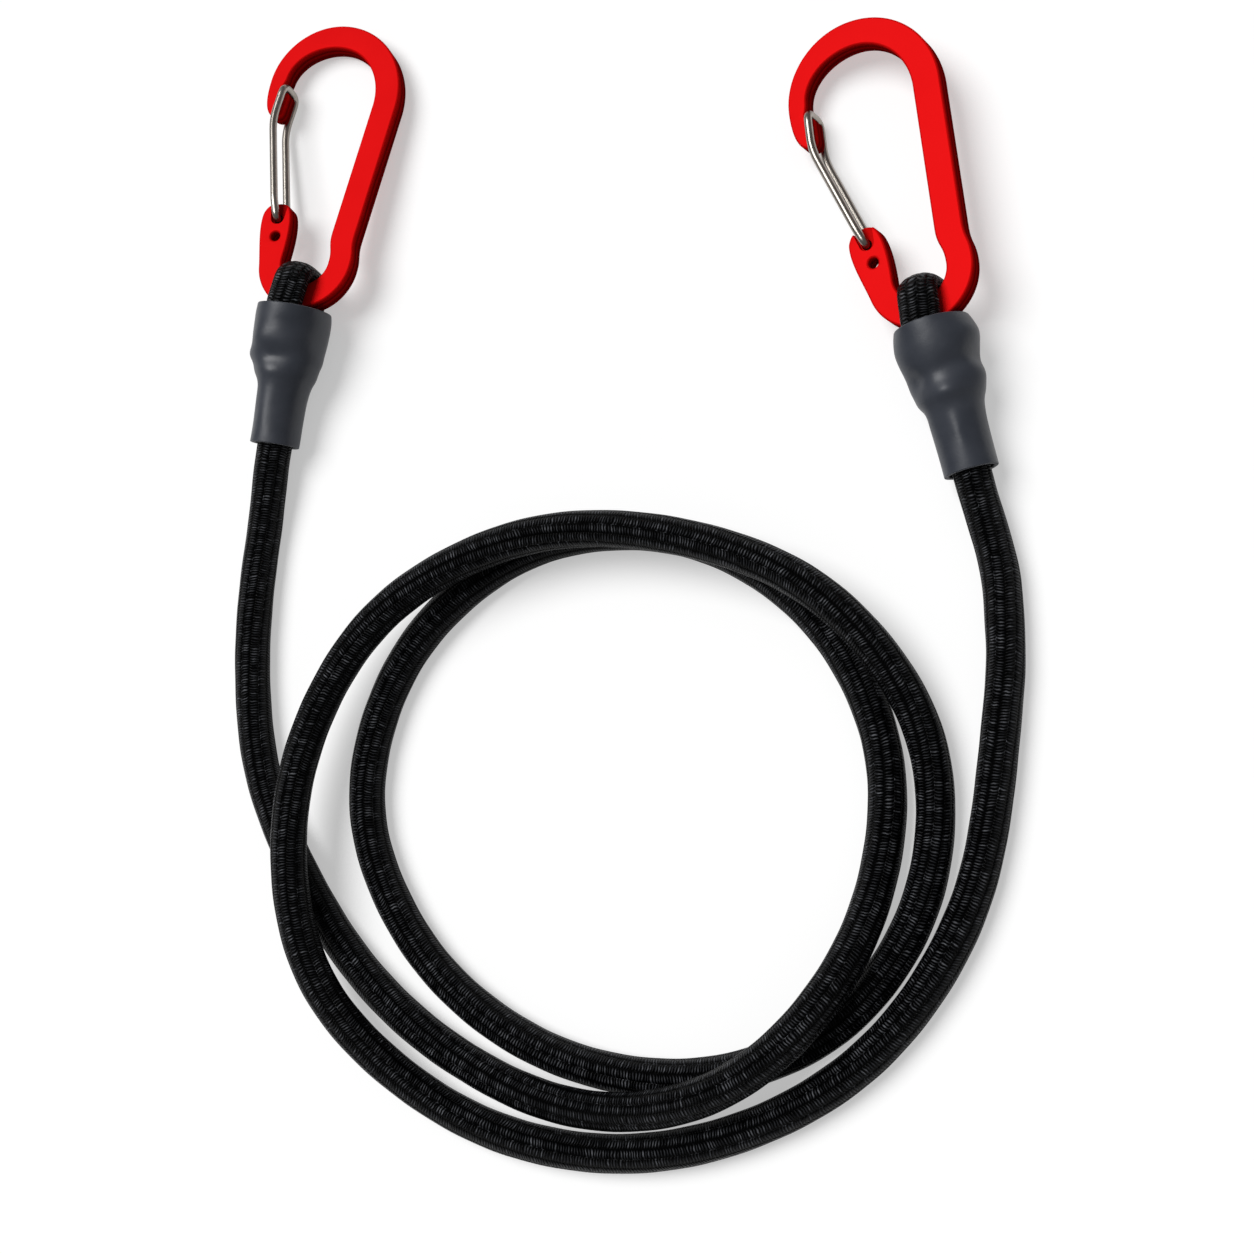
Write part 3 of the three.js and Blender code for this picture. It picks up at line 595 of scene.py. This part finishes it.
def loop_of(side):
    """The cord up a sleeve, round the bar and back. A station is a place, two half axes and the wide axis."""
    end = ENDS[side]
    sleeve, plate, leg_side = end["sleeve"], end["plate"], end["leg"]
    back = sleeve.inverted()
    sleeve_wide, plate_wide = across_of(sleeve), across_of(plate)

    def station(x, y, z, squeeze, base, wide=sleeve_wide):
        half = mix(base[0], CRIMPED_HALF_WIDTH, squeeze), mix(base[1], CRIMPED_HALF_THICKNESS, squeeze)
        return [*at(sleeve, x, y, z), *half, *wide]

    round_it, wrapped = (CORD_RADIUS, CORD_RADIUS), (WRAP_HALF_WIDTH, WRAP_HALF_THICKNESS)
    straight = SLEEVE_LENGTH - CORD_INSERT - FIT
    lead = [
        station(share * leg_side * LEG_SPREAD, -mix(TAIL_END, straight, along), 0, squeeze, round_it)
        for along, share, squeeze in LEAD_SHARES
    ]

    def held(way, along):
        return station(way * LEG_SPREAD, -along, 0, 1, wrapped)

    def in_eye(y, z):
        return [*at(plate, 0, y, z), *wrapped, *plate_wide]

    def leg(way):
        start = np.array(back @ Vector(at(plate, 0, -EYE_RADIUS - BAR_WIDTH, way * WRAP_REACH)))
        out = []
        for i in range(LEG_STEPS):
            share = (i + 1) / (LEG_STEPS + 1)
            turn = math.pi / 2 * share * share * (3 - 2 * share)
            x = mix(start[0], 0, share) - way * leg_side * LEG_SPREAD * math.sin(turn)
            y = mix(start[1], -CRIMP_START, share)
            wide = mix(plate_wide, sleeve_wide, share)
            out.append(station(x, y, start[2] * math.cos(turn), share, wrapped, wide))
        return out

    reach = FIT + WRAP_HALF_THICKNESS

    def bend(way):
        angles = [math.pi / 2 * i / WRAP_STEPS for i in range(WRAP_STEPS + 1)]
        return [
            in_eye(-EYE_RADIUS + reach * math.cos(a), way * (PLATE_THICKNESS / 2 + reach * math.sin(a)))
            for a in angles
        ]

    def along_bar(way):
        return [in_eye(-EYE_RADIUS - width, way * WRAP_REACH) for width in (BAR_WIDTH / 2, BAR_WIDTH)]

    stations = [
        station(0, -straight, 0, 0, round_it), *lead,
        held(leg_side, CRIMP_END), held(leg_side, CRIMP_START), *leg(-1)[::-1],
        *along_bar(-1)[::-1], *bend(-1)[::-1], *bend(1)[1:], *along_bar(1), *leg(1),
        held(-leg_side, CRIMP_START), held(-leg_side, CRIMP_END), held(-leg_side, TAIL_END),
    ]
    line = smooth_stations(np.array(stations))
    half_wide, half_thick, wide = line[:, 3], line[:, 4], line[:, 5:8]
    loop = braided_tube(f"{side}_loop", line[:, :3], wide, half_wide, half_thick, LOOP_BRAID_START)
    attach(loop, "cord")
    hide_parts(f"{side}_loop_jacket", f"{side}_loop_core")


def smooth_stations(rings):
    line = catmull_rom(rings[:, :3], LOOP_STEPS)
    t = np.linspace(0, len(rings) - 1, len(line))
    rest = np.stack([np.interp(t, np.arange(len(rings)), column) for column in rings.T[3:]], axis=1)
    return spaced(np.hstack([line, rest]), RING_STEP)


# Carabiner plates
def arc(cx, cy, rx, ry, start, end, steps=48):
    t = np.radians(np.linspace(start, end, steps + 1))
    return np.stack([cx + rx * np.cos(t), cy + ry * np.sin(t)], axis=1)


def circle(x, y, radius):
    step = 360 / CIRCLE_STEPS
    return arc(x, y, radius, radius, 0, 360 - step, CIRCLE_STEPS - 1)


def bezier(points, steps=16):
    """A curve by three or four points."""
    p, t = np.array(points, float), np.linspace(0, 1, steps + 1)[:, None]
    if len(p) == 3:
        return (1 - t) ** 2 * p[0] + 2 * t * (1 - t) * p[1] + t * t * p[2]
    return (1 - t) ** 3 * p[0] + 3 * t * (1 - t) ** 2 * p[1] + 3 * t * t * (1 - t) * p[2] + t**3 * p[3]


def polar(radius, degrees):
    return np.array((radius * math.cos(math.radians(degrees)), radius * math.sin(math.radians(degrees))))


def plate_outline():
    """Bar of the eye, spine, crown, nose with its catch, eye and ear."""
    outer = EYE_RADIUS + BAR_WIDTH
    inner_x = EYE_RADIUS - SPINE_INSET
    outer_x = inner_x + SPINE_WIDTH
    shoulder = SPINE_START / 2
    inner_top = CROWN_HEIGHT - CROWN_WIDTH
    nose_x = CROWN_MIDDLE - NOSE_SIDE_RADIUS
    nose_y = CROWN_HEIGHT - NOSE_SIDE_RADIUS
    head_x = nose_x + NOSE_HEAD_WIDTH
    flat_x = nose_x + NOSE_HEAD_WIDTH * NOSE_FLAT_SHARE
    catch = WIRE_RADIUS + FIT
    catch_y = TIP[1] - catch
    neck_y = TIP[1] + 2 * catch
    neck = NOSE_SIDE_RADIUS - NOSE_NECK_WIDTH
    foot = polar(outer, EAR_FOOT_ANGLE)
    flare = polar(BAR_WIDTH * EAR_FLARE_SHARE, EAR_FOOT_ANGLE - 90) + foot
    ear_x = PIVOT[0] - EAR_RADIUS
    ear_top = polar(EAR_RADIUS, EAR_TOP_ANGLE) + PIVOT
    ear_bend = polar(EAR_RADIUS / 2, EAR_TOP_ANGLE - 90) + ear_top
    pieces = [
        arc(0, 0, outer, outer, EAR_FOOT_ANGLE, 360, 60),
        bezier([(outer, 0), (outer, shoulder), (outer_x, shoulder), (outer_x, SPINE_START)]),
        arc(CROWN_MIDDLE, SPINE_END, outer_x - CROWN_MIDDLE, CROWN_HEIGHT - SPINE_END, 0, 90),
        arc(CROWN_MIDDLE, nose_y, NOSE_SIDE_RADIUS, NOSE_SIDE_RADIUS, 90, 180),
        bezier([
            (nose_x, nose_y), (nose_x, NOSE_BOTTOM + NOSE_NECK_WIDTH),
            (nose_x + NOSE_HEAD_WIDTH * NOSE_SLOPE_SHARE, NOSE_BOTTOM), (flat_x, NOSE_BOTTOM),
        ]),
        bezier([(flat_x, NOSE_BOTTOM), (head_x, NOSE_BOTTOM), (head_x, NOSE_BOTTOM + head_x - flat_x)]),
        bezier([(head_x, catch_y - (head_x - TIP[0])), (head_x, catch_y), (TIP[0], catch_y)]),
        arc(*TIP, catch, catch, -90, -180 - CATCH_LEAN, 20),
        arc(CROWN_MIDDLE, neck_y, neck, inner_top - neck_y, 180, 90),
        arc(CROWN_MIDDLE, SPINE_END, inner_x - CROWN_MIDDLE, inner_top - SPINE_END, 90, 0),
        bezier([(inner_x, SPINE_START), (inner_x, shoulder), (EYE_RADIUS, shoulder), (EYE_RADIUS, 0)]),
        arc(0, 0, EYE_RADIUS, EYE_RADIUS, 0, -180),
        bezier([(-EYE_RADIUS, 0), (-EYE_RADIUS, PIVOT[1] * EAR_RISE_SHARE), ear_bend, ear_top]),
        arc(*PIVOT, EAR_RADIUS, EAR_RADIUS, EAR_TOP_ANGLE, 180, 24),
        bezier([(ear_x, PIVOT[1]), (ear_x, PIVOT[1] * EAR_FLARE_SHARE), flare, foot]),
    ]
    points = np.vstack(pieces)
    return points[np.linalg.norm(points - np.roll(points, 1, axis=0), axis=1) > SAME_POINT]


def cut(piece, cutter):
    """Takes a mesh out of a piece and deletes it."""
    modifier = piece.modifiers.new("cut", "BOOLEAN")
    modifier.operation = "DIFFERENCE"
    modifier.solver = "EXACT"
    modifier.object = cutter
    apply_modifiers(piece)
    bpy.data.objects.remove(cutter)


def apply_modifiers(piece):
    graph = bpy.context.evaluated_depsgraph_get()
    graph.update()
    mesh = bpy.data.meshes.new_from_object(piece.evaluated_get(graph))
    piece.modifiers.clear()
    piece.data = mesh


def flat_piece(name, outlines):
    """A plate with holes, its edges rounded, with its middle plane on z = 0."""
    curve = bpy.data.curves.new(name, "CURVE")
    curve.dimensions = "2D"
    curve.fill_mode = "BOTH"
    curve.extrude = (PLATE_THICKNESS / 2 - EDGE) * MM
    curve.bevel_depth = EDGE * MM
    curve.bevel_resolution = BEVEL_STEPS
    curve.offset = -EDGE * MM
    for outline in outlines:
        spline = curve.splines.new("POLY")
        spline.points.add(len(outline) - 1)
        spline.use_cyclic_u = True
        values = np.hstack([outline * MM, np.zeros((len(outline), 1)), np.ones((len(outline), 1))])
        spline.points.foreach_set("co", values.astype(np.float32).ravel())
    temporary = bpy.data.objects.new(name + "_curve", curve)
    mesh = bpy.data.meshes.new_from_object(temporary)
    bpy.data.objects.remove(temporary)
    bpy.data.curves.remove(curve)
    piece = bpy.data.objects.new(name, mesh)
    bpy.context.scene.collection.objects.link(piece)
    weld = piece.modifiers.new("weld", "WELD")
    weld.merge_threshold = WELD * MM
    apply_modifiers(piece)
    return piece


def pocket_cutter(face):
    """The room in one face of the ear where a leg of the gate lies and swings."""
    lean = math.atan2(PIVOT[0] - KINK[0], KINK[1] - PIVOT[1])
    reach = EAR_RADIUS * 2
    x, y = PIVOT[0] + POCKET_RADIUS - WIRE_RADIUS - POCKET_PLAY, PIVOT[1]
    outline = np.vstack([
        arc(x, y, POCKET_RADIUS, POCKET_RADIUS, 180 + math.degrees(lean), 360, POCKET_STEPS),
        [(x + POCKET_RADIUS, y + reach)],
        [(
            x - math.cos(lean) * POCKET_RADIUS - math.sin(lean) * reach,
            y - math.sin(lean) * POCKET_RADIUS + math.cos(lean) * reach,
        )],
    ])
    count = len(outline)
    low = face * PLATE_THICKNESS / 2 - POCKET_DEPTH
    vertices = np.vstack([
        np.hstack([outline, np.full((count, 1), low)]),
        np.hstack([outline, np.full((count, 1), low + 2 * POCKET_DEPTH)]),
    ])
    faces = [tuple(range(count))[::-1], tuple(range(count, 2 * count))]
    faces += [(k, (k + 1) % count, count + (k + 1) % count, count + k) for k in range(count)]
    return new_object("pocket_cutter", vertices, faces)


def carabiner(side):
    """The plate. Its rounded edges open the ear's hole, so the hole starts narrower by half of them."""
    outlines = [
        plate_outline(),
        circle(PIVOT[0] + EAR_HOLE_INSET, PIVOT[1] - EAR_HOLE_DROP, EAR_HOLE_RADIUS - EDGE / 2),
        circle(*PIVOT, WIRE_RADIUS + FIT),
    ]
    body = flat_piece(f"{side}_carabiner", outlines)
    for face in (1, -1):
        cut(body, pocket_cutter(face))
    places = np.empty(3 * len(body.data.vertices), np.float32)
    body.data.vertices.foreach_get("co", places)
    # Across runs from one face of the plate to the other; the red material paints shade and reflection bands
    # on the walls from it
    across = body.data.attributes.new("across", "FLOAT", "POINT")
    across.data.foreach_set("value", places[2::3] / (PLATE_THICKNESS * MM) + 0.5)
    to_place = Matrix.Scale(MM, 4) @ ENDS[side]["plate"] @ Matrix.Scale(1 / MM, 4)
    body.data.transform(to_place)
    body.data.shade_smooth()
    body.data.set_sharp_from_angle(angle=math.radians(PLATE_SHARP_ANGLE))
    weighted = body.modifiers.new("weighted", "WEIGHTED_NORMAL")
    weighted.keep_sharp = True
    body.data.materials.clear()
    body.data.materials.append(RED)
    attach(body, f"{side}_carabiner")
    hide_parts(f"{side}_carabiner_body")


# Wire gates
def rounded_path(corners):
    """A path through corners, each rounded over its reach."""
    path = [corners[0][0]]
    for (before, _), (here, reach), (after, _) in zip(corners, corners[1:], corners[2:]):
        a = here + unit(before - here) * reach
        b = here + unit(after - here) * reach
        path.extend(bezier([a, here, b], WIRE_CORNER_STEPS))
    path.append(corners[-1][0])
    return np.array(path)


def wire_gate(side):
    """The wire from its pin in one face of the ear, round the nose, to its pin in the other."""
    nose_z = PLATE_THICKNESS / 2 + FIT + WIRE_RADIUS
    ear_z = PLATE_THICKNESS / 2 - POCKET_DEPTH + FIT + WIRE_RADIUS
    rise = unit(np.subtract(KINK, PIVOT)) * RISE_LENGTH

    def half(face):
        return [
            (np.array((*PIVOT, face * FIT)), 0),
            (np.array((*PIVOT, face * ear_z)), PIN_CORNER),
            (np.array((PIVOT[0] + rise[0], PIVOT[1] + rise[1], face * nose_z)), PIN_CORNER),
            (np.array((*KINK, face * nose_z)), KINK_CORNER),
            (np.array((*TIP, face * nose_z)), GATE_CORNER),
        ]

    plate = ENDS[side]["plate"]
    line = spaced(rounded_path([*half(1), *half(-1)[::-1]]), WIRE_STEP)
    line = np.array([at(plate, *p) for p in line])
    angle = np.arange(WIRE_SIDES) * 2 * math.pi / WIRE_SIDES
    rings, wide = [], across_of(plate)
    for centre, way in zip(line, unit(np.gradient(line, axis=0))):
        wide = unit(wide - wide @ way * way)
        thick = np.cross(way, wide)
        rings.append(centre + WIRE_RADIUS * (np.cos(angle)[:, None] * wide + np.sin(angle)[:, None] * thick))
    faces = [*map(tuple, quads(len(line), WIRE_SIDES)), tuple(range(WIRE_SIDES))[::-1]]
    faces.append(tuple(range((len(line) - 1) * WIRE_SIDES, len(line) * WIRE_SIDES)))
    gate = new_object(f"{side}_gate", np.array(rings).reshape(-1, 3), faces, material=WIRE)
    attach(gate, f"{side}_gate")
    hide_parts(f"{side}_wire_gate")


# Sleeves. Sections from mouth to lower end: share of the length, and half height or half width. Then what
# shrinking left on each: place along it, angle from +X over the top, reach along and round, and how far it
# stands out
HEIGHTS = [
    (0, 10.5), (0.11, 10.2), (0.18, 9.9), (0.27, 9.25), (0.35, 8.4), (0.49, 7.7), (0.54, 7.3), (0.63, 6.9),
    (0.76, 6.6), (1, 6.4),
]
SLEEVES = {
    "left": {
        "widths": [
            (0, 9.3), (0.06, 9.7), (0.2, 9.75), (0.3, 9.5), (0.37, 9.35), (0.43, 8.7), (0.49, 8.25),
            (0.56, 7.2), (0.64, 6.65), (0.8, 6.4), (1, 6.4),
        ],
        "marks": [
            (13.0, 172, 2.4, 34, 0.75), (9.5, 118, 3.2, 24, 0.55), (13.5, 80, 2.6, 30, -0.6),
            (5.0, 60, 3.0, 30, -0.35), (17.5, 95, 2.4, 26, 0.35), (8.0, 10, 3.5, 26, -0.35),
            (20.5, 165, 2.6, 30, -0.35), (28.0, 100, 5.0, 20, 0.2), (24.0, 60, 5.0, 22, -0.2),
        ],
    },
    "right": {
        "widths": [
            (0, 8.8), (0.05, 9.5), (0.12, 9.9), (0.22, 9.5), (0.3, 9.2), (0.38, 9.0), (0.45, 8.5),
            (0.5, 8.2), (0.57, 7.2), (0.66, 6.7), (0.8, 6.5), (1, 6.45),
        ],
        "marks": [
            (17.6, 78, 2.4, 24, 0.95), (13.0, 128, 2.6, 24, -0.75), (11.5, 62, 2.4, 26, -0.55),
            (5.0, 12, 2.4, 30, 0.5), (10.5, 8, 2.2, 30, -0.75), (15.5, 4, 2.2, 28, 0.45),
            (7.0, 140, 3.0, 26, 0.35), (23.0, 110, 4.0, 20, -0.25), (27.0, 75, 5.5, 16, 0.25),
            (20.5, 175, 2.6, 26, -0.4),
        ],
    },
}
MARK_GAIN = 1.3
RIM_WAVE = 0.12
RIM_WAVES = 3
RIM_REACH = 1.5
RIM_BEVEL = 0.2
RIM_SHARP_ANGLE = 40
RIM_BEVEL_ANGLE = 50
SLEEVE_SIDES = 128
SLEEVE_RINGS = 120
SLEEVE_CLEAR = 0.02


def sleeve(side):
    """A shell with an open mouth and an open lower end, with its shrinking marks and slightly wavy rims."""
    around, length = SLEEVE_SIDES, SLEEVE_RINGS
    facts = SLEEVES[side]
    y = np.linspace(0, SLEEVE_LENGTH, length)
    profiles = [np.array(table) * (SLEEVE_LENGTH, 1) for table in (facts["widths"], HEIGHTS)]
    tables = [catmull_rom(profile, PROFILE_STEPS) for profile in profiles]
    half_wide, half_high = (np.interp(y, table[:, 0], table[:, 1]) for table in tables)
    angle = np.arange(around) * 2 * math.pi / around
    relief = np.zeros((length, around))
    for place, degrees, along, round_it, height in facts["marks"]:
        off = (np.degrees(angle) - degrees + 180) % 360 - 180
        near, beside = np.exp(-(((y - place) / along) ** 2)), np.exp(-((off / round_it) ** 2))
        relief += MARK_GAIN * height * near[:, None] * beside[None]
    at_rims = (np.exp(-y / RIM_REACH) + np.exp((y - SLEEVE_LENGTH) / RIM_REACH))[:, None]
    rim = RIM_WAVE * np.sin(RIM_WAVES * angle + 0.7)[None] * at_rims
    matrix = ENDS[side]["sleeve"]
    turn, place = np.array(matrix.to_3x3()), np.array(matrix.translation)

    def shell(inset):
        a = (half_wide - inset)[:, None] + relief + rim
        b = (half_high - inset)[:, None] + relief + rim
        local = np.stack([np.cos(angle) * a, np.repeat(-y[:, None], around, 1), np.sin(angle) * b], axis=-1)
        points = local.reshape(-1, 3) @ turn.T + place
        points[:, 2] = np.maximum(points[:, 2], SLEEVE_CLEAR + inset)
        return points

    skin = quads(length, around)
    inside = skin + length * around
    k = np.arange(around)
    n = (k + 1) % around
    hollow_start, last = length * around, (length - 1) * around
    mouth = np.stack([k, n, n + hollow_start, k + hollow_start], -1)
    end = np.stack([last + k, last + n, last + n + hollow_start, last + k + hollow_start], -1)[:, ::-1]
    faces = np.vstack([skin[:, ::-1], inside, mouth, end])
    vertices = np.vstack([shell(0), shell(SLEEVE_WALL)])
    piece = new_object(f"{side}_cover", vertices, [*map(tuple, faces)], material=SLEEVE)
    piece.data.materials.append(CUT_EDGE)
    index = np.zeros(len(faces), np.int32)
    index[-2 * around:] = 1
    piece.data.polygons.foreach_set("material_index", index)
    piece.data.set_sharp_from_angle(angle=math.radians(RIM_SHARP_ANGLE))
    bevel = piece.modifiers.new("rim", "BEVEL")
    bevel.width = RIM_BEVEL * MM
    bevel.segments = 2
    bevel.angle_limit = math.radians(RIM_BEVEL_ANGLE)
    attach(piece, "cord")
    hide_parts(f"{side}_sleeve")


free_cord()
for side in ENDS:
    loop_of(side)
    carabiner(side)
    wire_gate(side)
    sleeve(side)
    frame["nodes"][f"{side}_crimp"].data.materials[0] = STEEL


# Floor, world and lamps
FLOOR_DROP = 0.05
FLOOR_REACH = 6000
FLOOR_COLOUR = 0.6
FLOOR_GLOW = 0.45
WORLD_LIGHT = 0.18
SUN_WAY = (0.4, -0.25, -0.88)
SUN_SPREAD = 38
SUN_STRENGTH = 2.75

# The right carabiner lies rolled, so it dips as it swings inwards, and the floor gives way below that swing,
# from where its nose rests on
HOLLOW_X = [-52, 12, 60]
HOLLOW_Y = [-57, -38, 46, 110]
HOLLOW_DEPTH = 12.2
HOLLOW_STEP = 3
HOLLOW_REACH = 120


def hollow(x, y):
    deep = np.interp(x, HOLLOW_X, [0, HOLLOW_DEPTH, 0])
    return deep * np.interp(y, HOLLOW_Y, [0, 1, 1, 0])


def make_floor():
    """A floor that glows a little for the camera and in reflections, and is shaded as if it were flat."""
    m = Nodes("floor", rough=0.9, colour=(FLOOR_COLOUR,) * 3, specular=0.0)
    light_path = m.node("ShaderNodeLightPath")
    m.set("Emission Color", (1, 1, 1, 1))
    seen = m.math("MAXIMUM", light_path.outputs["Is Camera Ray"], light_path.outputs["Is Glossy Ray"])
    m.to(m.math("MULTIPLY", seen, FLOOR_GLOW), "Emission Strength")
    up = m.node("ShaderNodeCombineXYZ")
    up.inputs[2].default_value = 1.0
    m.to(up.outputs[0], "Normal")
    inner = np.arange(-HOLLOW_REACH, HOLLOW_REACH + 1, HOLLOW_STEP)
    steps = np.concatenate([[-FLOOR_REACH], inner, [FLOOR_REACH]])
    x, y = (a.ravel() for a in np.meshgrid(steps, steps))
    i = np.arange(len(steps) - 1)
    corner = (i[:, None] * len(steps) + i).ravel()
    faces = np.stack([corner, corner + 1, corner + len(steps) + 1, corner + len(steps)], -1)
    vertices = np.stack([x, y, -FLOOR_DROP - hollow(x, y)], -1)
    new_object("floor", vertices, [*map(tuple, faces)], material=m.material)


def make_world():
    """White where the camera sees it, and a plain weak light otherwise."""
    world = bpy.data.worlds.new("world")
    world.use_nodes = True
    tree = world.node_tree
    seen = tree.nodes.new("ShaderNodeLightPath").outputs["Is Camera Ray"]
    strength = tree.nodes.new("ShaderNodeMapRange")
    strength.inputs["To Min"].default_value = WORLD_LIGHT
    strength.inputs["To Max"].default_value = 1.0
    tree.links.new(seen, strength.inputs["Value"])
    tree.nodes["Background"].inputs["Color"].default_value = (1, 1, 1, 1)
    tree.links.new(strength.outputs[0], tree.nodes["Background"].inputs["Strength"])
    bpy.context.scene.world = world


def make_sun():
    light = bpy.data.lights.new("key", "SUN")
    light.angle = math.radians(SUN_SPREAD)
    light.energy = SUN_STRENGTH
    obj = bpy.data.objects.new("key", light)
    obj.rotation_mode = "QUATERNION"
    obj.rotation_quaternion = Vector(SUN_WAY).to_track_quat("-Z", "Y")
    bpy.context.scene.collection.objects.link(obj)


make_floor()
make_world()
make_sun()

bpy.context.scene.view_settings.view_transform = "Standard"
bpy.context.view_layer.update()
